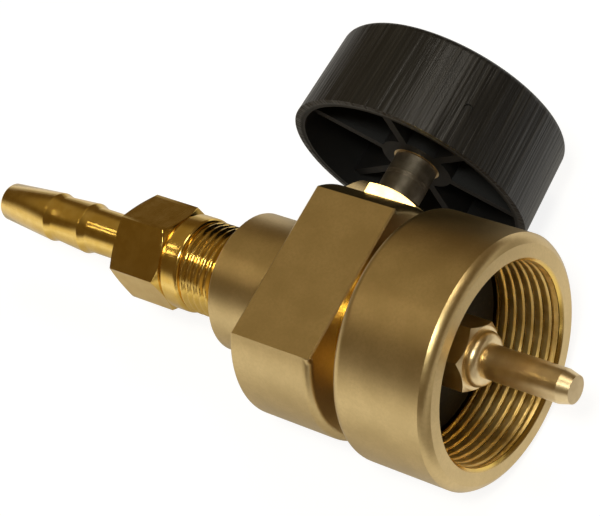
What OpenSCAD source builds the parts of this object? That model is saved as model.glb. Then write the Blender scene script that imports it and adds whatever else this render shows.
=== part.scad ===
// Fixed flow regulator for a small gas cylinder: a turned brass body with a screw collar, an on and off
// valve with a black moulded knob, and a hose tail whose drilled plug sets the flow.
// X runs along the main axis and out of the mouth, Y runs along the valve stem, Z is up as it lies.
// The origin is the centre of the mouth. Sizes are in millimetres.

/* [Collar] */
// Outside diameter of the collar
collar_d = 31.75; // [29:0.05:36]
// Major diameter of the inlet thread
inlet_thread_d = 25.4; // [24:0.1:26.4]
// Depth of the collar, from its mouth to its floor
collar_depth = 12.2; // [11:0.1:15]
// Thickness of the collar's floor
collar_floor = 1.4; // [1.4:0.1:3]
// Rounding of the collar's edge at the mouth
mouth_round = 1.1; // [0.3:0.1:1.6]
// Rounding of the collar's rear edge
rear_round = 1.3; // [0.3:0.1:1.3]
// Depth of the countersink that leads into the inlet thread
mouth_sink = 0.4; // [0.2:0.1:0.8]

/* [Neck and block] */
// Width of the turned groove between the collar and the block
groove_w = 3.75; // [2:0.05:6]
// Diameter of the neck at the bottom of that groove
neck_d = 19; // [16:0.1:24]
// Length of the block along the main axis
block_w = 12; // [11:0.1:16]
// Diameter of the block
block_d = 29.8; // [28:0.1:34]
// Distance across the block's two wrench flats
flats_af = 20.64; // [18:0.02:24]
// Rounding and bevel of the block's edges beside the groove
block_edge = 1; // [0.3:0.1:1.5]
// Bevel of the block's edges on the outlet side
block_back_edge = 0.3; // [0.2:0.1:1]
// Distance of the valve stem from the middle of the block, towards the outlet
stem_offset = 1.8; // [0:0.1:1.9]

/* [Outlet boss] */
// Diameter of the boss that takes the outlet fitting
boss_d = 18.1; // [16:0.1:20]
// Length of the boss
boss_len = 8.9; // [7:0.1:12]
// Bevel of the boss's end
boss_bevel = 0.5; // [0.2:0.1:1]
// Depth of the tapped hole in the boss
boss_hole_depth = 5.6; // [4.5:0.1:5.8]

/* [Inlet probe] */
// Distance across the probe's hexagon
probe_af = 7.94; // [7.2:0.02:9]
// Length of the hexagon
probe_hex_len = 6.4; // [4:0.1:7]
// Turn of the hexagon as tightened, in degrees
probe_turn = 40.7; // [0:0.1:60]
// Diameter of the probe's pin
probe_pin_d = 4.3; // [3.6:0.05:5]
// Distance that the pin stands out past the mouth
probe_reach = 9.8; // [6:0.1:12]
// Diameter of the bore through the probe
probe_bore_d = 1.6; // [1:0.1:2]
// Major diameter of the probe's thread in the body
probe_thread_d = 6; // [5.4:0.1:7]
// Depth of that thread in the body, below the collar's floor
probe_thread_len = 6; // [5:0.1:6.4]
// Thickness of the inlet gasket
gasket_t = 2.5; // [1.5:0.1:3.5]

/* [Valve seat] */
// Diameter of the passages through the body on the inlet side
inlet_passage_d = 2; // [1.4:0.1:2.2]
// Diameter of the passage from the valve chamber to the boss
outlet_passage_d = 1.6; // [1:0.1:2]
// Height of the seat's lip above the main axis
seat_y = 3.5; // [3.2:0.1:4]
// Height of the lip above the chamber's floor
seat_lip = 0.5; // [0.3:0.1:0.8]
// Diameter of the lip
seat_lip_d = 3.2; // [3:0.1:3.4]
// Diameter of the valve chamber
chamber_d = 5.2; // [5:0.05:5.4]
// Thickness of the soft seat disc
disc_t = 1.4; // [1:0.1:1.8]
// Diameter of the soft seat disc
disc_d = 3.6; // [3.5:0.05:3.7]
// Length of the disc holder's guided upper part
holder_guide_len = 2.9; // [2.5:0.1:3.5]

/* [Valve stem] */
// Diameter of the stem's thread
stem_thread_d = 3.2; // [3:0.1:3.4]
// Pitch of the stem's thread
stem_pitch = 0.7; // [0.5:0.05:0.75]
// Turns of the knob from closed to fully open
open_turns = 1.5; // [1:0.25:1.5]
// Diameter of the stem where it runs in the bonnet nut
stem_body_d = 4.5; // [4.2:0.05:4.6]
// Diameter of the stem's shaft above the bonnet nut
stem_shaft_d = 5.8; // [5.2:0.1:6.2]
// Diameter of the spigot that drives the knob
spigot_d = 4; // [3.6:0.1:4.4]
// Depth of the flat on the spigot
spigot_flat = 0.6; // [0.4:0.05:0.8]

/* [Bonnet nut] */
// Distance across the bonnet nut's hexagon
bonnet_af = 11.1; // [10.2:0.05:12]
// Height of the hexagon
bonnet_hex_h = 2; // [1.6:0.1:3]
// Height of its seat above the main axis
bonnet_seat_y = 13.5; // [13.2:0.1:14]
// Turn of the hexagon as tightened, in degrees
bonnet_turn = 27.6; // [0:0.1:60]
// Major diameter of the bonnet nut's thread in the block
bonnet_thread_d = 6.6; // [6.4:0.05:6.8]

/* [Knob] */
// Diameter of the knob at its open rim
knob_d = 32.7; // [30:0.1:36]
// Diameter of the knob at its top face
knob_top_d = 31.8; // [29:0.1:34]
// Height of the knob
knob_h = 12.7; // [11.5:0.1:15]
// Height of the knob's rim above the main axis
knob_rim_y = 19.9; // [19.2:0.1:22]
// Thickness of the knob's side wall
knob_wall = 1.4; // [1:0.1:2]
// Thickness of the knob's top
knob_top_t = 2; // [1.6:0.1:2.4]
// Diameter of the knob's hub
hub_d = 9.8; // [9:0.1:12]
// Distance that the hub and the ribs stop short of the rim
hub_recess = 2.1; // [1:0.1:2.6]
// Number of ribs inside the knob
rib_count = 6; // [4:1:8]
// Thickness of a rib
rib_t = 1.2; // [0.8:0.1:1.6]
// Rounding of the knob's top edge
knob_round = 0.9; // [0.3:0.1:1.3]
// Diameter of the metal insert moulded into the hub
insert_d = 6.4; // [5.6:0.1:7]

/* [Outlet fitting] */
// Major diameter of the outlet thread
outlet_thread_d = 12.2; // [11.4:0.1:12.6]
// Length of outlet thread left in view
outlet_thread_view = 7.3; // [4:0.1:9]
// Diameter of the shoulder between the thread and the hexagon
shoulder_d = 12.6; // [12.2:0.1:13]
// Length of that shoulder
shoulder_len = 3.3; // [2:0.1:5]
// Distance across the fitting's hexagon
outlet_af = 12; // [11.4:0.05:13]
// Length of the fitting's hexagon
outlet_hex_len = 8; // [5:0.1:10]
// Turn of the hexagon as tightened, in degrees
outlet_turn = 58; // [0:0.1:60]
// Diameter of the hose tail between its barbs
tail_d = 6.14; // [5.6:0.02:6.6]
// Diameter over the barbs
barb_d = 6.9; // [6.7:0.05:7.4]
// Diameter of the tail's end
tail_tip_d = 5.2; // [4.8:0.1:5.6]
// Length of the tail, from the hexagon to its end
tail_len = 24.3; // [22:0.1:30]
// Distance between the two barbs
barb_pitch = 6.3; // [5:0.1:8]
// Diameter of the bore through the fitting
tail_bore_d = 3.2; // [2.4:0.1:3.6]
// Diameter of the hole that sets the flow
orifice_d = 0.4; // [0.3:0.05:0.8]
// Diameter of the flow plug and its screen
plug_d = 4.8; // [4.4:0.1:5.4]

/* [Hidden] */
$fn = 96;

// Clearances
thread_fit = 0.03;
slide_fit = 0.05;
press_gap = 0.02;
over = 1;

// Stations along the main axis
floor_x = -collar_depth;
collar_x = floor_x - collar_floor;
block_x = collar_x - groove_w;
block_back_x = block_x - block_w;
boss_x = block_back_x - boss_len;
stem_x = block_x - block_w/2 - stem_offset;
boss_hole_x = boss_x + boss_hole_depth;
probe_hole_x = floor_x - probe_thread_len - 0.8;

// Stations along the stem
chamber_floor_y = seat_y - seat_lip;
skirt_y = seat_y + 0.5;
recess_y = seat_y + disc_t;
holder_floor_t = 0.7;
skirt_top_y = recess_y + holder_floor_t - 0.2;
socket_y = recess_y + holder_floor_t;
holder_top_y = skirt_top_y + holder_guide_len;
lift = stem_pitch*open_turns;
stop_gap = 0.15;
bonnet_end_y = holder_top_y + lift + stop_gap;
bonnet_gasket_t = 0.6;
ledge_y = bonnet_end_y - bonnet_gasket_t;
bonnet_step_y = bonnet_end_y + 2.4;
bonnet_top_y = bonnet_seat_y + bonnet_hex_h;
stem_shaft_y = bonnet_top_y + 0.5;
hub_y = knob_rim_y + hub_recess;
knob_top_y = knob_rim_y + knob_h;
insert_top_y = knob_top_y - 3;
spigot_top_y = insert_top_y - 0.2;

// The stem's foot, its wire ring and its seal groove
foot_d = 2.4;
ring_y = socket_y + 1.3;
ring_h = 0.3;
ring_space = 0.04;
foot_groove_d = foot_d - 0.5;
socket_groove_d = foot_d + 0.6;
seal_groove_y = bonnet_step_y + 0.9;
seal_groove_w = 1.4;
seal_groove_d = stem_body_d - 1.6;
bonnet_bore_d = stem_body_d + 2*slide_fit;

// The two turned rings that mark the shaft
mark_y = stem_shaft_y + 2.8;
mark_w = 0.2;
mark_space = 0.45;
mark_depth = 0.12;

// Stations of the outlet fitting
shoulder_x = boss_x - outlet_thread_view;
outlet_hex_x = shoulder_x - shoulder_len;
tail_x = outlet_hex_x - outlet_hex_len;
tail_end_x = tail_x - tail_len;
fitting_end_x = boss_hole_x - 0.6;
barb_root_x = tail_x - 7.8;
barb_drop = 1.2;

// The pieces inside the fitting's inner end
screen_t = 0.3;
screen_ring_t = 0.8;
plug_t = 3;
screen_ring_x = fitting_end_x - 0.6;
screen_x = screen_ring_x - screen_ring_t;
plug_x = screen_x - screen_t;
plug_seat_x = plug_x - plug_t;
screen_hole_d = 0.4;
screen_hole_space = 0.75;

// The filter in the probe's inner end
filter_d = 3.2;
filter_len = 2.6;
filter_ring_t = 0.4;
probe_end_x = floor_x - probe_thread_len;
filter_ring_x = probe_end_x + 0.3;
filter_x = filter_ring_x + filter_ring_t;
filter_seat_x = filter_x + filter_len;
probe_hex_x = floor_x + gasket_t;
probe_face_x = probe_hex_x + probe_hex_len;
probe_dome_d = 7;
probe_dome_len = 1.4;
probe_dome_round = 1.1;
pin_taper = 1.5;
pin_tip_d = probe_pin_d - 0.8;
vent_d = 1;
vent_turn = 21;

// The knob's fastening
screw_d = 2.5;
screw_head_d = 4.6;
screw_head_h = 1.5;
screw_len = 5.4;
washer_t = 0.5;
screw_recess_d = 5.8;
pit_y = 25.3;
pit_turn = -47.5;
pit_d = 1.2;
pit_depth = 0.3;

// Lays what is drawn upright along the main axis
module along_axis()
    rotate([0, 90, 0])
    children();

// Stands what is drawn upright on the axis of the stem
module on_stem()
    translate([stem_x, 0, 0])
    rotate([-90, 0, 0])
    children();

// Half outline of a turned length from a to b, with its outer corners rounded
module turned_outline(a, b, r, round_a, round_b) {
    translate([0, a + round_a]) square([r, b - a - round_a - round_b]);
    translate([0, a]) square([r - round_a, round_a + 0.001]);
    translate([0, b - round_b - 0.001]) square([r - round_b, round_b + 0.001]);
    intersection() {
        translate([r - round_a, a + round_a]) circle(round_a);
        translate([0, a]) square([r, b - a]);
    }
    intersection() {
        translate([r - round_b, b - round_b]) circle(round_b);
        translate([0, a]) square([r, b - a]);
    }
}

module turned(a, b, d, round_a = 0.01, round_b = 0.01)
    rotate_extrude()
    turned_outline(a, b, d/2, round_a, round_b);

// Plain length of round bar, or the hole that takes one
module rod(a, b, d)
    translate([0, 0, a])
    cylinder(h = b - a, d = d);

module ring(a, b, outer_d, inner_d)
    difference() {
        rod(a, b, outer_d);
        rod(a - over, b + over, inner_d);
    }

// Cone between two diameters, for bevels, countersinks and tapers
module taper(a, b, d_a, d_b)
    translate([0, 0, a])
    cylinder(h = b - a, d1 = d_a, d2 = d_b);

// Hexagon bar whose corners are bevelled at the ends that are asked for
module hexagon(a, b, af, turn, bevel_a, bevel_b) {
    corner_d = af/cos(30);
    bevel = 0.22*(corner_d - af) + 0.25;
    face_d = af - 0.1;
    intersection() {
        rotate([0, 0, turn])
        translate([0, 0, a])
        cylinder(h = b - a, d = corner_d, $fn = 6);
        union() {
            if (bevel_a) taper(a, a + bevel, face_d, corner_d + 0.1);
            else rod(a, a + bevel, corner_d + 0.1);
            rod(a + bevel, b - bevel, corner_d + 0.1);
            if (bevel_b) taper(b - bevel, b, corner_d + 0.1, face_d);
            else rod(b - bevel, b, corner_d + 0.1);
        }
    }
}

// Block as seen along the stem, with its long edges bevelled
module block_plan() {
    front = block_edge*0.8;
    half = flats_af/2;
    polygon([[block_back_x, half - block_back_edge], [block_back_x + block_back_edge, half],
             [block_x - front, half], [block_x, half - front],
             [block_x, front - half], [block_x - front, -half],
             [block_back_x + block_back_edge, -half], [block_back_x, block_back_edge - half]]);
}

module body_outside() {
    along_axis() turned(collar_x, 0, collar_d, rear_round, mouth_round);
    along_axis() rod(block_x - over, collar_x + over, neck_d);
    intersection() {
        along_axis() turned(block_back_x, block_x, block_d, block_back_edge, block_edge);
        rotate([90, 0, 0]) linear_extrude(block_d + over, center = true) block_plan();
    }
    along_axis() {
        rod(boss_x + boss_bevel, block_back_x + over, boss_d);
        taper(boss_x, boss_x + boss_bevel, boss_d - 2*boss_bevel, boss_d);
    }
}

module valve_body()
    color("#b8965a")
    difference() {
        body_outside();
        along_axis() {
            rod(floor_x, over, inlet_thread_d);
            taper(-mouth_sink, 0.1, inlet_thread_d, inlet_thread_d + 2*mouth_sink + 0.2);
            rod(probe_hole_x, over, probe_thread_d);
            rod(boss_x - over, boss_hole_x, outlet_thread_d);
            taper(boss_x - 0.1, boss_x + 0.4, outlet_thread_d + 1, outlet_thread_d);
        }
        along_axis() rod(stem_x, probe_hole_x + over, inlet_passage_d);
        translate([0, chamber_floor_y + outlet_passage_d/2 + 0.1, 0])
        along_axis()
        rod(boss_hole_x - over, stem_x, outlet_passage_d);
        on_stem() {
            rod(-inlet_passage_d/2, seat_y + over, inlet_passage_d);
            rod(seat_y, bonnet_seat_y, chamber_d);
            ring(chamber_floor_y, seat_y + over, chamber_d, seat_lip_d);
            rod(ledge_y, bonnet_seat_y + over, bonnet_thread_d);
            rod(bonnet_seat_y, block_d, bonnet_af/cos(30) + 0.8);
        }
    }

module inlet_gasket()
    color("#191817")
    along_axis()
    ring(floor_x, probe_hex_x, inlet_thread_d - 0.8, probe_thread_d + 0.2);

module inlet_probe()
    color("#a98650")
    difference() {
        along_axis() {
            rod(probe_end_x, probe_hex_x + over, probe_thread_d - 2*thread_fit);
            hexagon(probe_hex_x, probe_face_x, probe_af, probe_turn, false, true);
            turned(probe_hex_x + over, probe_face_x + probe_dome_len, probe_dome_d, 0.01, probe_dome_round);
            rod(probe_face_x, probe_reach - pin_taper, probe_pin_d);
            taper(probe_reach - pin_taper, probe_reach, probe_pin_d, pin_tip_d);
        }
        along_axis() {
            rod(filter_seat_x, probe_reach - 3, probe_bore_d);
            rod(probe_end_x - over, filter_seat_x, filter_d);
        }
        translate([probe_reach - 3.6, 0, 0])
        rotate([vent_turn, 0, 0])
        rotate([90, 0, 0])
        cylinder(h = probe_pin_d + over, d = vent_d, center = true);
    }

module inlet_filter()
    color("#8f6b43")
    along_axis()
    rod(filter_x, filter_seat_x, filter_d - 2*press_gap);

module filter_ring()
    color("#8c8f92")
    along_axis()
    ring(filter_ring_x, filter_x, filter_d - 2*press_gap, filter_d - 1.2);

module bonnet_nut()
    color("#caa35e")
    on_stem()
    difference() {
        union() {
            rod(bonnet_end_y, bonnet_seat_y + over, bonnet_thread_d - 2*thread_fit);
            hexagon(bonnet_seat_y, bonnet_top_y, bonnet_af, bonnet_turn, false, true);
        }
        rod(bonnet_end_y - over, bonnet_top_y, stem_thread_d + 2*slide_fit);
        rod(bonnet_step_y, bonnet_top_y + over, bonnet_bore_d);
    }

module bonnet_gasket()
    color("#b4683f")
    on_stem()
    ring(ledge_y, bonnet_end_y, bonnet_thread_d - 0.2, chamber_d + 0.1);

module valve_stem()
    color("#5b5650")
    on_stem()
    difference() {
        union() {
            rod(socket_y + 0.05, bonnet_end_y, foot_d);
            rod(holder_top_y + 0.2, bonnet_step_y + 0.4, stem_thread_d);
            rod(bonnet_step_y + 0.3, stem_shaft_y + 0.2, stem_body_d);
            turned(stem_shaft_y, hub_y, stem_shaft_d, 0.3, 0.1);
            rod(hub_y - over, spigot_top_y, spigot_d);
        }
        ring(ring_y - ring_space, ring_y + ring_h + ring_space, foot_d + over, foot_groove_d);
        ring(seal_groove_y, seal_groove_y + seal_groove_w, stem_body_d + over, seal_groove_d);
        for (i = [0, 1])
            ring(mark_y + i*mark_space, mark_y + i*mark_space + mark_w, stem_shaft_d + over,
                 stem_shaft_d - 2*mark_depth);
        translate([spigot_d/2 - spigot_flat, -spigot_d, hub_y])
        cube([spigot_d, 2*spigot_d, knob_h]);
        rod(spigot_top_y - screw_len, spigot_top_y + over, screw_d + 2*thread_fit);
    }

// The seal is drawn squeezed between its groove and the bonnet's bore
module stem_o_ring() {
    section_r = (bonnet_bore_d - seal_groove_d)/4 - press_gap;
    color("#1c1b1a")
    on_stem()
    translate([0, 0, seal_groove_y + section_r + 0.02])
    rotate_extrude()
    translate([seal_groove_d/2 + section_r + press_gap/2, 0])
    circle(section_r);
}

module backup_ring()
    color("#e8e6df")
    on_stem()
    ring(seal_groove_y + seal_groove_w - 0.45, seal_groove_y + seal_groove_w - 0.05,
         stem_body_d, seal_groove_d + 2*press_gap);

module disc_holder()
    color("#b99352")
    on_stem()
    difference() {
        union() {
            rod(skirt_y, skirt_top_y + over, chamber_d - 0.8);
            rod(skirt_top_y, holder_top_y, chamber_d - 2*slide_fit);
        }
        rod(skirt_y - over, recess_y, disc_d + 2*press_gap);
        rod(socket_y, holder_top_y + over, foot_d + 2*slide_fit);
        rod(ring_y - ring_space, ring_y + ring_h + ring_space, socket_groove_d);
    }

module seat_disc()
    color("#efece4")
    on_stem()
    rod(seat_y, recess_y, disc_d);

module holder_ring()
    color("#9a9c9e")
    on_stem()
    difference() {
        ring(ring_y, ring_y + ring_h, socket_groove_d - 2*press_gap, foot_groove_d + 2*ring_space);
        translate([0, -0.3, ring_y - over])
        cube([foot_d, 0.6, ring_h + 2*over]);
    }

module knob_shell() {
    inner_d = knob_d - 2*knob_wall;
    inner_top_d = knob_top_d - 2*knob_wall;
    straight_top = knob_top_y - knob_round;
    difference() {
        union() {
            taper(knob_rim_y, straight_top, knob_d, knob_top_d);
            turned(straight_top - over, knob_top_y, knob_top_d, 0.01, knob_round);
        }
        taper(knob_rim_y - 0.01, knob_top_y - knob_top_t, inner_d, inner_top_d);
        rod(insert_top_y, knob_top_y + over, screw_recess_d);
        rotate([0, 0, pit_turn])
        translate([knob_d/2 - pit_depth - 0.15, 0, pit_y])
        rotate([0, 90, 0])
        cylinder(h = knob_wall, d = pit_d);
    }
}

module knob()
    color("#1d1c1a")
    on_stem()
    difference() {
        union() {
            knob_shell();
            ring(hub_y, knob_top_y - knob_top_t + 0.1, hub_d, insert_d);
            for (i = [0:rib_count - 1])
                rotate([0, 0, (i + 0.5)*360/rib_count])
                translate([insert_d/2 + 0.5, -rib_t/2, hub_y])
                cube([knob_top_d/2 - knob_wall/2 - insert_d/2 - 0.5, rib_t, knob_top_y - hub_y - knob_top_t + 0.1]);
        }
        rod(hub_y - over, insert_top_y + 0.01, insert_d);
    }

module knob_insert()
    color("#b5914f")
    on_stem()
    difference() {
        rod(hub_y, insert_top_y, insert_d - 2*press_gap);
        difference() {
            rod(hub_y - over, insert_top_y + over, spigot_d + 2*press_gap);
            translate([spigot_d/2 - spigot_flat + press_gap, -spigot_d, hub_y - 2*over])
            cube([spigot_d, 2*spigot_d, knob_h + 2*over]);
        }
    }

module knob_screw()
    color("#a7a9ab")
    on_stem()
    difference() {
        union() {
            rod(spigot_top_y - screw_len + 0.5, insert_top_y + washer_t + 0.1, screw_d);
            turned(insert_top_y + washer_t, insert_top_y + washer_t + screw_head_h, screw_head_d, 0.01, 0.4);
        }
        for (turn = [0, 90])
            rotate([0, 0, turn])
            translate([-1.2, -0.25, insert_top_y + washer_t + screw_head_h - 0.8])
            cube([2.4, 0.5, over]);
    }

module lock_washer()
    color("#8d9093")
    on_stem()
    difference() {
        ring(insert_top_y, insert_top_y + washer_t, screw_head_d - 0.1, screw_d + 0.2);
        rotate([0, 0, 35])
        translate([0, -0.15, insert_top_y - over])
        cube([screw_head_d, 0.3, washer_t + 2*over]);
    }

// Half outline of the hose tail: each barb climbs towards the hexagon and then drops
module tail_outline() {
    second_x = barb_root_x - barb_drop;
    first_x = second_x - barb_pitch;
    polygon([[0, tail_end_x], [tail_tip_d/2 - 0.25, tail_end_x], [tail_tip_d/2, tail_end_x + 0.25],
             [barb_d/2 - 0.1, first_x], [barb_d/2 - 0.1, first_x + 0.15], [tail_d/2, first_x + barb_drop],
             [barb_d/2, second_x], [barb_d/2, second_x + 0.15], [tail_d/2, barb_root_x],
             [tail_d/2, tail_x + over], [0, tail_x + over]]);
}

module hose_barb()
    color("#c99b43")
    along_axis()
    difference() {
        union() {
            rotate_extrude() tail_outline();
            hexagon(tail_x, outlet_hex_x, outlet_af, outlet_turn, true, true);
            turned(outlet_hex_x - over, shoulder_x, shoulder_d, 0.01, 0.6);
            rod(shoulder_x - over, fitting_end_x - 0.5, outlet_thread_d - 2*thread_fit);
            taper(fitting_end_x - 0.5, fitting_end_x, outlet_thread_d - 2*thread_fit, outlet_thread_d - 1.1);
        }
        rod(tail_end_x - over, fitting_end_x + over, tail_bore_d);
        rod(plug_seat_x, fitting_end_x + over, plug_d);
    }

module flow_orifice()
    color("#d0b06a")
    along_axis()
    difference() {
        rod(plug_seat_x, plug_x, plug_d - 2*press_gap);
        rod(plug_seat_x - over, plug_x + over, orifice_d);
        taper(plug_x - 1, plug_x + 0.01, orifice_d, 2.2);
        rod(plug_seat_x - over, plug_x - 1.6, tail_bore_d - 0.8);
    }

module orifice_screen()
    color("#9b9da0")
    along_axis()
    difference() {
        rod(plug_x, screen_x, plug_d - 2*press_gap);
        for (i = [-2:2], j = [-2:2])
            if (i*i + j*j < 5)
                translate([i*screen_hole_space, j*screen_hole_space, plug_x - over])
                cylinder(h = screen_t + 2*over, d = screen_hole_d);
    }

module screen_ring()
    color("#8c8f92")
    along_axis()
    ring(screen_x, screen_ring_x, plug_d - 2*press_gap, plug_d - 1.2);

valve_body();
inlet_gasket();
inlet_probe();
inlet_filter();
filter_ring();
bonnet_nut();
bonnet_gasket();
valve_stem();
stem_o_ring();
backup_ring();
disc_holder();
seat_disc();
holder_ring();
knob();
knob_insert();
knob_screw();
lock_washer();
hose_barb();
flow_orifice();
orifice_screen();
screen_ring();
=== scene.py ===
import math

import bmesh
import bpy
from mathutils import Matrix, Vector


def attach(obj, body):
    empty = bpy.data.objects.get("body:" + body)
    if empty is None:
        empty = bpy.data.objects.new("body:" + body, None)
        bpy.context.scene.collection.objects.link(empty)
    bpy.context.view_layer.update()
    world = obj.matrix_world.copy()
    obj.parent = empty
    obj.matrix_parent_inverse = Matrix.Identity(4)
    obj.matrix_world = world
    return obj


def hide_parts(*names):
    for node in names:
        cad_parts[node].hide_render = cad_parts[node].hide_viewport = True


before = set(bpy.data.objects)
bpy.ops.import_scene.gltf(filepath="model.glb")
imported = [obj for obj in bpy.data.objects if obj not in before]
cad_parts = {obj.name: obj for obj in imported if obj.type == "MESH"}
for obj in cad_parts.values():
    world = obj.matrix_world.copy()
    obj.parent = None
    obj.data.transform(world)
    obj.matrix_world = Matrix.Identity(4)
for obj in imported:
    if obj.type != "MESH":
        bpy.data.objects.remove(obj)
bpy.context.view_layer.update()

# Valve body: collar, neck, block and outlet boss, turned and milled from one bar of brass. The outside
# is bead blasted and matt. The mouth, its threads and the neck in the groove are left as turned.


class Wire:
    """One wire in a finish: signs between wires add Math nodes, and node() adds any other node."""

    def __init__(self, tree, socket=None):
        self.tree = tree
        self.socket = socket

    def node(self, kind, settings=None, sockets=None, out=0):
        made = self.tree.nodes.new(kind)
        for name, value in (settings or {}).items():
            setattr(made, name, value)
        for name, value in (sockets or {}).items():
            if isinstance(value, Wire):
                self.tree.links.new(value.socket, made.inputs[name])
            else:
                made.inputs[name].default_value = value
        return Wire(self.tree, made.outputs[out])

    def math(self, operation, a, b=0.0):
        return self.node("ShaderNodeMath", {"operation": operation}, {0: a, 1: b})

    def __add__(self, other):
        return self.math("ADD", self, other)

    def __sub__(self, other):
        return self.math("SUBTRACT", self, other)

    def __rsub__(self, other):
        return self.math("SUBTRACT", other, self)

    def __mul__(self, other):
        return self.math("MULTIPLY", self, other)

    def __pow__(self, other):
        return self.math("POWER", self, other)

    __radd__ = __add__
    __rmul__ = __mul__

    def or_more(self, other):
        """The larger of this wire and the other."""
        return self.math("MAXIMUM", self, other)

    def step(self, start, end):
        """0 below start and 1 above end, with a soft change between."""
        return self.node("ShaderNodeMapRange", {"interpolation_type": "SMOOTHSTEP"},
                         {"Value": self, "From Min": start, "From Max": end})

    def blend(self, a, b):
        """Colour a where this wire is 0 and colour b where it is 1."""
        colours = [c if isinstance(c, Wire) else (*c, 1) for c in (a, b)]
        return self.node("ShaderNodeMix", {"data_type": "RGBA"},
                         {0: self, 6: colours[0], 7: colours[1]}, out=2)

    def noise(self, where, scale, detail=2.0, rough=0.5):
        return self.node("ShaderNodeTexNoise", None,
                         {"Vector": where, "Scale": scale, "Detail": detail, "Roughness": rough})

    def bands(self, scale, detail):
        """Fine bands across this wire's direction, as a lathe leaves them."""
        return self.node("ShaderNodeTexNoise", {"noise_dimensions": "1D"},
                         {"W": self, "Scale": scale, "Detail": detail})

    def split(self):
        """The x, y and z of this place or direction."""
        parts = self.node("ShaderNodeSeparateXYZ", None, {0: self})
        return [Wire(self.tree, parts.socket.node.outputs[i]) for i in range(3)]


OBJECT_PLACE = 3


def new_finish(name):
    """A material with its Principled shader, the place in the row frame, and that place's x, y and z."""
    material = bpy.data.materials.new(name)
    material.use_nodes = True
    shader = material.node_tree.nodes["Principled BSDF"]
    place = Wire(material.node_tree).node("ShaderNodeTexCoord", out=OBJECT_PLACE)
    return material, shader, place, place.split()


def set_finish(shader, constants, wires):
    for name, value in constants.items():
        shader.inputs[name].default_value = value
    for name, wire in wires.items():
        shader.id_data.links.new(wire.socket, shader.inputs[name])


def grain(height, distance, strength=1.0):
    return height.node("ShaderNodeBump", None,
                       {"Height": height, "Distance": distance, "Strength": strength})


def dress(name, material):
    """Give a CAD node this material and no other."""
    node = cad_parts[name]
    node.data.materials.clear()
    node.data.materials.append(material)


# Where the turned zones start and end along the main axis, and how far out they reach
GROOVE_REAR, GROOVE_FRONT, GROOVE_R = -0.01725, -0.0137, 0.0097
MOUTH_FLOOR, MOUTH_R = -0.0122, 0.0128
SOFT = 0.0002
BLASTED_ROUGHNESS, TURNED_ROUGHNESS = 0.31, 0.16

blasted, shader, place, (x, y, z) = new_finish("blasted_brass")
radius = (y * y + z * z) ** 0.5
in_mouth = ((1 - radius.step(MOUTH_R, MOUTH_R + 2 * SOFT))
            * x.step(MOUTH_FLOOR - 2 * SOFT, MOUTH_FLOOR))
in_groove = ((1 - radius.step(GROOVE_R, GROOVE_R + 0.0003)) * x.step(GROOVE_REAR - SOFT, GROOVE_REAR)
             * (1 - x.step(GROOVE_FRONT, GROOVE_FRONT + SOFT)))
turned = in_mouth + in_groove
cloud = place.noise(place, 260, 3, 0.55)
speck = place.noise(place, 2600, 2, 0.6)
bead = place.noise(place, 5200, 2, 0.6)
tone = cloud.step(0.3, 0.72).blend((0.58, 0.428, 0.196), (0.66, 0.492, 0.232))
matt = (speck.step(0.35, 0.7) * 0.35).blend(tone, (0.52, 0.382, 0.172))
set_finish(shader, {"Metallic": 1.0}, {
    "Base Color": turned.blend(matt, (0.80, 0.54, 0.13)),
    "Roughness": (BLASTED_ROUGHNESS + 0.07 * cloud) * (1 - turned) + TURNED_ROUGHNESS * turned,
    "Normal": grain(bead * (1 - turned) + x.bands(9000.0, 1.0) * turned * 0.5, 0.00003, 0.5),
})
dress("valve_body", blasted)

blasted_body = bpy.data.objects.new("blasted_body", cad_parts["valve_body"].data.copy())
bpy.context.scene.collection.objects.link(blasted_body)

# The bevel where the block's flats meet the groove is only a hair line on the real part
GROOVE_WALL, FLAT_Z, BEVEL, HAIR_BEVEL = -0.01735, 0.01032, 0.0008, 0.00018
ON_BEVEL, NOTHING = 0.000004, 0.000001
narrower = HAIR_BEVEL / BEVEL
for vertex in blasted_body.data.vertices:
    along, across = vertex.co.x - GROOVE_WALL, abs(vertex.co.z) - FLAT_Z
    if abs(along + across + BEVEL) < ON_BEVEL and along < NOTHING and across < NOTHING:
        vertex.co.x = GROOVE_WALL + along * narrower
        vertex.co.z = math.copysign(FLAT_Z + across * narrower, vertex.co.z)

# The mouth's outer edge is half way between a bevel and the solid's rounding, and as wide
MOUTH_EDGE, COLLAR_R = 0.0011, 0.015875
for vertex in blasted_body.data.vertices:
    out = math.hypot(vertex.co.y, vertex.co.z)
    forward, outward = vertex.co.x + MOUTH_EDGE, out - (COLLAR_R - MOUTH_EDGE)
    if forward > NOTHING and outward > NOTHING:
        flatter = 0.5 + 0.5 * MOUTH_EDGE / (forward + outward)
        new_out = COLLAR_R - MOUTH_EDGE + outward * flatter
        vertex.co.x = forward * flatter - MOUTH_EDGE
        vertex.co.y *= new_out / out
        vertex.co.z *= new_out / out
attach(blasted_body, "body")
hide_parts("valve_body")

# Inlet thread: 1 in, 20 turns to the inch, cut inside the collar with a tap and left bright. It moves with
# the body and has its own tapped finish, and its ridges stand in from the bore that the body has.


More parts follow.
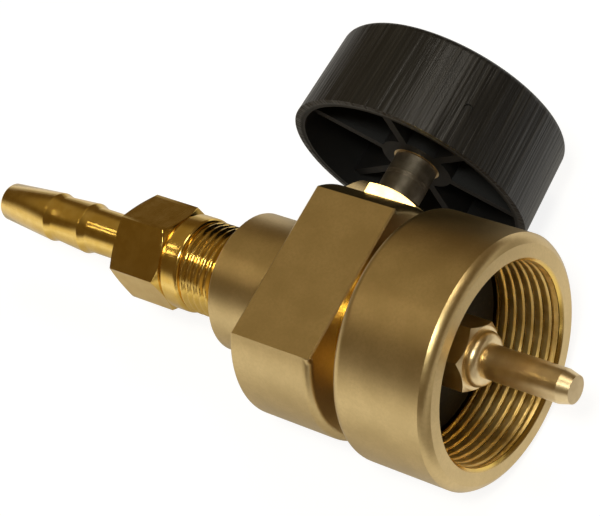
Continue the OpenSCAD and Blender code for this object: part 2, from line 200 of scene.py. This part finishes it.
def turned_mesh(name, rows, turn=0.0):
    """A closed mesh from rings round the main axis; each row is its x and one radius for each side."""
    count = len(rows[0][1])
    mesh = bmesh.new()
    rings = []
    for at, radii in rows:
        ring = []
        for i in range(count):
            angle = math.radians(turn) + 2 * math.pi * i / count
            ring.append(mesh.verts.new((at, radii[i] * math.sin(angle), -radii[i] * math.cos(angle))))
        rings.append(ring)
    for k, here in enumerate(rings):
        after = rings[(k + 1) % len(rings)]
        for i in range(count):
            j = (i + 1) % count
            mesh.faces.new((here[i], here[j], after[j], after[i]))
    bmesh.ops.recalc_face_normals(mesh, faces=mesh.faces)
    for face in mesh.faces:
        face.smooth = True
    for edge in mesh.edges:
        edge.smooth = edge.calc_face_angle(0) < math.radians(32)
    data = bpy.data.meshes.new(name)
    mesh.to_mesh(data)
    mesh.free()
    piece = bpy.data.objects.new(name, data)
    bpy.context.scene.collection.objects.link(piece)
    return piece


def thread_height(turns, root, flank):
    """Height of a thread, 0 at the root and 1 at the crest, at this many turns along."""
    rise = 1 - abs(2 * (turns % 1) - 1)
    return min(max((rise - root) / flank, 0), 1)


SIDES = 144


def around(radius):
    return [radius] * SIDES


INLET_PITCH, INLET_ROOT_R, INLET_RISE = 0.00127, 0.01272, 0.0002
INLET_FROM, INLET_TO, INLET_STEPS = -0.0095, -0.00045, 96
INLET_RUN_IN, INLET_RUN_OUT, INLET_BACKING = 0.0004, 0.0007, 0.00004
rows = []
for k in range(INLET_STEPS + 1):
    at = INLET_FROM + (INLET_TO - INLET_FROM) * k / INLET_STEPS
    fade = min(1, (INLET_TO - at) / INLET_RUN_OUT, (at - INLET_FROM) / INLET_RUN_IN)
    heights = [thread_height(at / INLET_PITCH + i / SIDES, 0.05, 0.42) for i in range(SIDES)]
    rows.append((at, [INLET_ROOT_R - INLET_RISE * fade * height for height in heights]))
rows += [(end, around(INLET_ROOT_R + INLET_BACKING)) for end in (INLET_TO, INLET_FROM)]
inlet_thread = turned_mesh("inlet_thread_ridges", rows)

tapped, shader, place, _ = new_finish("tapped_brass")
wear = place.noise(place, 900, 3)
set_finish(shader, {"Metallic": 1.0}, {
    "Base Color": wear.step(0.3, 0.7).blend((0.74, 0.52, 0.17), (0.84, 0.62, 0.25)),
    "Roughness": 0.38 + 0.12 * wear,
    "Normal": grain(place.noise(place, 4200, 2), 0.00002, 0.4),
})
inlet_thread.data.materials.append(tapped)
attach(inlet_thread, "body")

# Rubber seals: the inlet gasket is a washer punched from black sheet and pressed on the collar's floor.
# The stem's O-ring is moulded from the same rubber and sits in the stem's groove.

rubber, shader, place, _ = new_finish("black_rubber")
dust = place.noise(place, 1800, 4, 0.6)
set_finish(shader, {"Specular IOR Level": 0.35}, {
    "Base Color": dust.step(0.45, 0.8).blend((0.020, 0.016, 0.011), (0.048, 0.038, 0.026)),
    "Roughness": 0.6 + 0.2 * dust,
    "Normal": grain(dust, 0.00004, 0.5),
})
dress("inlet_gasket", rubber)
dress("stem_o_ring", rubber)

# Inlet probe: hexagon bar turned down to a domed shoulder and the long pin that opens the cylinder's
# valve, screwed into the collar's floor. Fine rings from the lathe run round the pin.


def turned_brass(name, colours, roughness, line_scale, line_depth):
    """Bright brass with the fine rings that a lathe leaves round the main axis."""
    material, shader, place, (x, _, _) = new_finish(name)
    patch = place.noise(place, 700, 3)
    lines = x.bands(line_scale, 2.0)
    set_finish(shader, {"Metallic": 1.0}, {
        "Base Color": patch.step(0.3, 0.72).blend(*colours),
        "Roughness": roughness + 0.09 * patch + 0.05 * lines,
        "Normal": grain(lines + 0.3 * place.noise(place, 3600, 2), line_depth, 0.5),
    })
    return material


probe_brass = turned_brass("probe_brass", ((0.74, 0.57, 0.31), (0.84, 0.67, 0.39)),
                           0.27, 7000.0, 0.00001)
dress("inlet_probe", probe_brass)

# Filter: a sintered bronze plug in the probe's inner end. The sprung steel rings hold it, the screen and
# the seat's holder, and the lock washer under the knob's screw is of the same steel.

sintered, shader, place, _ = new_finish("sintered_bronze")
# Its colour is darker between the beads: painted shade in the pores.
beads = place.node("ShaderNodeTexVoronoi", None, {"Vector": place, "Scale": 4500.0})
set_finish(shader, {"Metallic": 1.0}, {
    "Base Color": beads.step(0.1, 0.6).blend((0.52, 0.34, 0.18), (0.25, 0.15, 0.07)),
    "Roughness": 0.5 + 0.2 * beads,
    "Normal": grain(1 - beads, 0.00008, 0.8),
})
dress("inlet_filter", sintered)


def plain_metal(name, low, high, roughness):
    """Drawn, punched or plated metal with a soft mottle and a fine grain."""
    material, shader, place, _ = new_finish(name)
    mottle = place.noise(place, 1500, 3)
    set_finish(shader, {"Metallic": 1.0}, {
        "Base Color": mottle.step(0.3, 0.7).blend(low, high),
        "Roughness": roughness + 0.12 * mottle,
        "Normal": grain(place.noise(place, 5000, 2), 0.00001, 0.4),
    })
    return material


spring_steel = plain_metal("spring_steel", (0.42, 0.42, 0.43), (0.55, 0.56, 0.57), 0.26)
for ring in ("filter_ring", "screen_ring", "holder_ring", "lock_washer"):
    dress(ring, spring_steel)

# Bonnet nut: bright turned brass hexagon, screwed down on its copper washer. It carries the stem's thread.

nut_brass = turned_brass("nut_brass", ((0.76, 0.53, 0.18), (0.84, 0.62, 0.26)), 0.14, 2000.0, 0.000002)
dress("bonnet_nut", nut_brass)
copper = plain_metal("soft_copper", (0.62, 0.30, 0.18), (0.74, 0.40, 0.26), 0.35)
dress("bonnet_gasket", copper)

# Valve stem: dark browned steel, ground across its length, which leaves fine rings round the shaft.

stem_steel, shader, place, (_, y, _) = new_finish("browned_steel")
smoke = place.noise(place, 900, 3)
set_finish(shader, {"Metallic": 1.0}, {
    "Base Color": smoke.step(0.3, 0.7).blend((0.26, 0.215, 0.155), (0.36, 0.30, 0.225)),
    "Roughness": 0.42 + 0.08 * smoke,
    "Normal": grain(y.bands(8000.0, 1.0), 0.00003, 0.7),
})
dress("valve_stem", stem_steel)

# Seat and its holder: a soft white disc in a small brass cup that slides in the chamber, and the
# plastic ring that backs up the stem's seal. The knob's insert is turned from the same brass.

waxy, shader, place, _ = new_finish("white_seal_plastic")
cloudy = place.noise(place, 1200, 3)
set_finish(shader, {"Specular IOR Level": 0.4}, {
    "Base Color": cloudy.step(0.3, 0.7).blend((0.80, 0.79, 0.75), (0.88, 0.87, 0.84)),
    "Roughness": 0.45 + 0.15 * cloudy,
    "Normal": grain(cloudy, 0.00001, 0.3),
})
dress("seat_disc", waxy)
dress("backup_ring", waxy)
dress("disc_holder", probe_brass)
dress("knob_insert", probe_brass)

# Knob: black plastic moulded in one piece, hollow below with a hub and six ribs. Its flank shows soft
# upright lines from the mould in its bumps, with lighter lines painted into its colour as sheen, and its
# skin is satin.

STEM_X = -0.02515
FLANK_FROM_R, FLANK_R = 0.0152, 0.0157
WIDE_LINES, FINE_LINES = (9.0, 30.0, 0.0), (34.0, 45.0, 3.0)
INSIDE_ROUGHNESS, FLANK_SMOOTHER = 0.56, 0.27

knob_plastic, shader, place, (x, y, z) = new_finish("black_moulded_plastic")
round_knob = x.math("ARCTAN2", x - STEM_X, z)
out_from_stem = ((x - STEM_X) * (x - STEM_X) + z * z) ** 0.5
flank = out_from_stem.step(FLANK_FROM_R, FLANK_R)


def upright_lines(pattern, rough):
    """Irregular lines along the knob's axis: how many round it, how they vary along it, and which set."""
    around_it, along_it, which = pattern
    where = round_knob.node("ShaderNodeCombineXYZ", None,
                            {0: round_knob * around_it, 1: y * along_it, 2: which})
    return where.noise(where, 1.0, 2, rough)


wide_lines = upright_lines(WIDE_LINES, 0.5)
fine_lines = upright_lines(FINE_LINES, 0.55)
skin = place.noise(place, 5200, 2)
# Lighter lines on the flank: painted sheen, where the mould's ridges would catch the light.
painted_sheen_lines = flank * fine_lines.step(0.42, 0.72)
set_finish(shader, {"Specular IOR Level": 0.36}, {
    "Base Color": painted_sheen_lines.blend((0.007, 0.0065, 0.006), (0.022, 0.020, 0.017)),
    "Roughness": INSIDE_ROUGHNESS - FLANK_SMOOTHER * flank + 0.14 * fine_lines * flank + 0.06 * skin,
    "Normal": grain((wide_lines * 1.6 + fine_lines * 0.7) * flank + 0.1 * skin, 0.00022, 0.8),
})
dress("knob", knob_plastic)

# Knob screw and outlet screen: zinc plated steel. The screw lies in the recess of the knob's top, and the
# screen lies before the flow plug.

zinc_steel = plain_metal("zinc_steel", (0.55, 0.56, 0.56), (0.68, 0.69, 0.70), 0.24)
dress("knob_screw", zinc_steel)
dress("orifice_screen", zinc_steel)

# Hose tail: turned from hexagon bar and polished. The thread screws into the boss, the shoulder and
# the hexagon follow, and two barbs grip the hose. The drilled plug inside sets the flow.

TAIL_END, TAIL_START, HEX_START, SHOULDER_START = -0.08115, -0.05685, -0.04885, -0.04555
FITTING_END, BOSS_END = -0.03325, -0.03825
TAIL_R, HEX_R, SHOULDER_R, THREAD_R = 0.00307, 0.006, 0.0063, 0.00607
BORE_R, PLUG_HOLE_R, PLUG_HOLE_END, LEAD_IN_R = 0.0016, 0.0024, -0.03795, 0.00555
HEX_TURN, HEX_BEVEL, TAIL_BEVEL, BEVEL_STEPS = 58, 0.00066, 0.0003, 14
CORNER_R = HEX_R / math.cos(math.radians(30))
SHOULDER_ROUND, ROUND_STEPS = 0.0006, 7
OUTLET_PITCH, OUTLET_DEPTH, OUTLET_STEPS = 0.001, 0.00042, 76
OUTLET_FROM, OUTLET_TO, OUTLET_RUN_OUT = SHOULDER_START + 0.0001, BOSS_END + 0.0004, 0.0005

# Each ring of the tail, from its tip to its foot: its place along the main axis, and its radius
TAIL_PROFILE = (
    (TAIL_END, 0.00225), (TAIL_END + 0.00008, 0.00246), (TAIL_END + 0.0003, 0.0026),
    (-0.0723, 0.00333), (-0.07218, 0.00335), (-0.07205, 0.00335),
    (-0.07192, 0.0033), (-0.0712, 0.00311), (-0.07095, TAIL_R),
    (-0.066, 0.00343), (-0.06588, 0.00345), (-0.06574, 0.00345),
    (-0.06562, 0.0034), (-0.0649, 0.00311), (-0.06465, TAIL_R),
    (TAIL_START, TAIL_R),
)
# Each ring of the neck between the hexagon and the shoulder: how far from the hexagon, and its radius
NECK_PROFILE = ((0.00001, 0.0059), (0.00015, 0.00575), (0.0004, 0.00592), (0.0007, SHOULDER_R))


def hexagon_radius(side):
    """Radius of the hexagon at this side of the ring, whose first side is a corner."""
    return HEX_R / math.cos(math.radians((360 * side / SIDES) % 60 - 30))


def hexagon_row(at, cone):
    """One ring of the hexagon, trimmed by the cone that bevels its corners."""
    return at, [min(cone, hexagon_radius(i)) for i in range(SIDES)]


rows = [(at, around(radius)) for at, radius in TAIL_PROFILE]
CONE_MARGIN = 0.00005
cone_rise = CORNER_R - HEX_R + 2 * CONE_MARGIN
for k in range(BEVEL_STEPS + 1):
    rows.append(hexagon_row(TAIL_START + TAIL_BEVEL * k / BEVEL_STEPS,
                            HEX_R - CONE_MARGIN + cone_rise * k / BEVEL_STEPS))
for k in range(BEVEL_STEPS + 1):
    rows.append(hexagon_row(HEX_START - HEX_BEVEL + HEX_BEVEL * k / BEVEL_STEPS,
                            CORNER_R + CONE_MARGIN - cone_rise * k / BEVEL_STEPS))
rows += [(HEX_START + step, around(radius)) for step, radius in NECK_PROFILE]
for k in range(ROUND_STEPS + 1):
    a = math.radians(90 * k / ROUND_STEPS)
    rows.append((SHOULDER_START - SHOULDER_ROUND + SHOULDER_ROUND * math.sin(a),
                 around(SHOULDER_R - SHOULDER_ROUND + SHOULDER_ROUND * math.cos(a))))
for k in range(OUTLET_STEPS + 1):
    at = OUTLET_FROM + (OUTLET_TO - OUTLET_FROM) * k / OUTLET_STEPS
    deep = OUTLET_DEPTH * min(1, (OUTLET_TO - at) / OUTLET_RUN_OUT)
    heights = [thread_height(at / OUTLET_PITCH + i / SIDES, 0.1, 0.7) for i in range(SIDES)]
    rows.append((at, [THREAD_R - deep * (1 - height) for height in heights]))
rows += [(FITTING_END - 0.0005, around(THREAD_R)), (FITTING_END, around(LEAD_IN_R)),
         (FITTING_END, around(PLUG_HOLE_R)), (PLUG_HOLE_END, around(PLUG_HOLE_R)),
         (PLUG_HOLE_END, around(BORE_R)), (TAIL_END + 0.0003, around(BORE_R)),
         (TAIL_END, around(0.0019))]
hose_tail = turned_mesh("polished_hose_tail", rows, HEX_TURN)

tail_brass = turned_brass("polished_brass", ((0.74, 0.485, 0.11), (0.80, 0.55, 0.16)),
                          0.10, 2400.0, 0.000002)
hose_tail.data.materials.append(tail_brass)
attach(hose_tail, "body")
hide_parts("hose_barb")

# Flow plug: drilled brass, pressed into the fitting's inner end behind its screen. It sets the flow.

dress("flow_orifice", probe_brass)

# Floor: a plain white sheet just under the knob's lowest point, with a soft shadow. In reflections only it
# carries painted shade
# and painted reflection: a dark warm glow close under the object, well ahead of the mouth and behind the
# tail on the knob's side, and more white glow near the mouth.

FLOOR_Z = -0.01645
MIDDLE_X = -0.035
FLOOR_GLOW, CAMERA_SHARE = 1.24, 0.7
NEAR_SHARE, FAR_SHARE, MOUTH_SHARE = 0.12, 0.62, 0.5
BEHIND_DARK, AHEAD_DARK, UNDER_DARK = 0.75, 0.8, 0.33

bpy.ops.mesh.primitive_circle_add(vertices=96, radius=2.5, fill_type="NGON", location=(0, 0, FLOOR_Z))
floor = bpy.context.object
floor.name = "floor"
sheet = bpy.data.materials.new("white_sheet")
sheet.use_nodes = True
tree = sheet.node_tree
tree.nodes.clear()


def ray_kinds(tree, *names):
    """One wire for each kind of ray, 1 where that kind looks."""
    rays = Wire(tree).node("ShaderNodeLightPath")
    return [Wire(tree, rays.socket.node.outputs[name]) for name in names]


def glow_of(tree, colour, strength):
    return Wire(tree).node("ShaderNodeEmission", None, {"Color": (*colour, 1), "Strength": strength})


def mix_shaders(factor, first, second):
    return factor.node("ShaderNodeMixShader", None, {0: factor, 1: first, 2: second})


camera_ray, glossy_ray, clear_ray = ray_kinds(tree, "Is Camera Ray", "Is Glossy Ray",
                                              "Is Transmission Ray")
reflected = glossy_ray + clear_ray
gx, gy, _ = Wire(tree).node("ShaderNodeTexCoord", out=OBJECT_PLACE).split()
apart = ((gx - MIDDLE_X) * (gx - MIDDLE_X) + gy * gy) ** 0.5
# Painted shade in reflections: behind the tail, ahead of the mouth and close under the object, the brass
# sees a dark warm glow.
behind = (1 - gx.step(-0.14, -0.05)) * gy.step(0.02, 0.09) * BEHIND_DARK
ahead = gx.step(0.013, 0.024) * (1 - gx.step(0.08, 0.2)) * AHEAD_DARK
under = (1 - apart.step(0.02, 0.08)) * (1 - gx.step(-0.01, 0.005)) * UNDER_DARK
# Painted reflection: near the mouth the brass sees more of the white glow.
near_mouth = gx.step(-0.03, 0.01) * MOUTH_SHARE
bright = near_mouth.or_more(NEAR_SHARE + FAR_SHARE * apart.step(0.03, 0.16))
dark = behind.or_more(ahead).or_more(under)

cloth = Wire(tree).node("ShaderNodeBsdfDiffuse", None, {"Color": (0.82, 0.82, 0.81, 1)})
lit = mix_shaders(camera_ray * CAMERA_SHARE + reflected * bright, cloth,
                  glow_of(tree, (1, 1, 1), FLOOR_GLOW))
seen = mix_shaders(reflected * dark, lit, glow_of(tree, (0.14, 0.10, 0.05), 1.0))
output = tree.nodes.new("ShaderNodeOutputMaterial")
tree.links.new(seen.socket, output.inputs[0])
floor.data.materials.append(sheet)

# Light: a dim warm room, bright and white low on the near side, with a soft glow over the flat. A key lamp
# is high on the right, one lamp is for the stem, two small ones are over the tail, and one large one fills.

NEAR_WHITE = (1.0, 0.95, 0.86)
ROOM_DARK, ROOM_GLOW = (0.12, 0.08, 0.035), (0.29, 0.225, 0.125)
GLOW_TOWARD = (-0.5, 0.25, 0.83)

world = bpy.data.worlds.new("room")
bpy.context.scene.world = world
world.use_nodes = True
tree = world.node_tree
tree.nodes.clear()
fx, fy, fz = Wire(tree).node("ShaderNodeTexCoord").split()
low = (1 - fz.step(0.08, 0.42)) * (1 - fy.step(-0.45, -0.05)) * (1 - fx.step(-0.1, 0.4))
toward = (fx * GLOW_TOWARD[0] + fy * GLOW_TOWARD[1] + fz * GLOW_TOWARD[2]).step(0.72, 0.92)
room = low.blend(toward.blend(ROOM_DARK, ROOM_GLOW), NEAR_WHITE)
camera_ray, = ray_kinds(tree, "Is Camera Ray")
background = camera_ray.node("ShaderNodeBackground", None,
                             {"Color": camera_ray.blend(room, (1, 1, 1)), "Strength": 1.0})
output = tree.nodes.new("ShaderNodeOutputWorld")
tree.links.new(background.socket, output.inputs[0])

AIM = Vector((-0.025, 0.005, 0.0))
WARM = (1.0, 0.88, 0.62)


def lamp(name, direction, distance, size, radiance, colour, shows=True):
    """A square lamp that faces the object from this direction, with this brightness of its own."""
    data = bpy.data.lights.new(name, "AREA")
    data.shape = "SQUARE"
    data.size = size
    data.energy = radiance * math.pi * size * size
    data.color = colour
    lamp_object = bpy.data.objects.new(name, data)
    bpy.context.scene.collection.objects.link(lamp_object)
    away = Vector(direction).normalized()
    lamp_object.location = AIM + away * distance
    lamp_object.rotation_euler = away.to_track_quat("Z", "Y").to_euler()
    lamp_object.visible_glossy = shows


lamp("key_lamp", (0.27, 0.37, 0.89), 0.6, 0.19, 7.0, (1.0, 0.93, 0.80))
lamp("stem_lamp", (0.36, -0.25, 0.90), 0.6, 0.09, 55.0, (0.97, 1.0, 0.93))
lamp("tail_lamp_one", (-0.60, -0.24, 0.76), 0.6, 0.022, 18.0, WARM)
lamp("tail_lamp_two", (-0.60, -0.03, 0.79), 0.6, 0.022, 18.0, WARM)
lamp("soft_fill", (-0.1, -0.35, 0.92), 0.9, 0.8, 0.62, (1.0, 0.97, 0.92), shows=False)

# Camera: a long lens at the photograph's angle, found from the object's outlines.

SENSOR_WIDTH = 36.0
LENS = 128.325
CAMERA_AT = (0.12045, -0.0751, 0.20719)
RIGHT, UP = (0.7823, 0.48145, -0.39523), (-0.25189, 0.82482, 0.50618)
BACK = (0.5697, -0.29644, 0.76653)

camera_data = bpy.data.cameras.new("photo_camera")
camera_data.sensor_fit = "HORIZONTAL"
camera_data.sensor_width = SENSOR_WIDTH
camera_data.lens = LENS
camera_data.clip_start = 0.01
camera_data.clip_end = 20
camera = bpy.data.objects.new("photo_camera", camera_data)
bpy.context.scene.collection.objects.link(camera)
camera.matrix_world = Matrix.Translation(CAMERA_AT) @ Matrix((RIGHT, UP, BACK)).transposed().to_4x4()
bpy.context.scene.camera = camera
bpy.context.scene.view_settings.view_transform = "Standard"
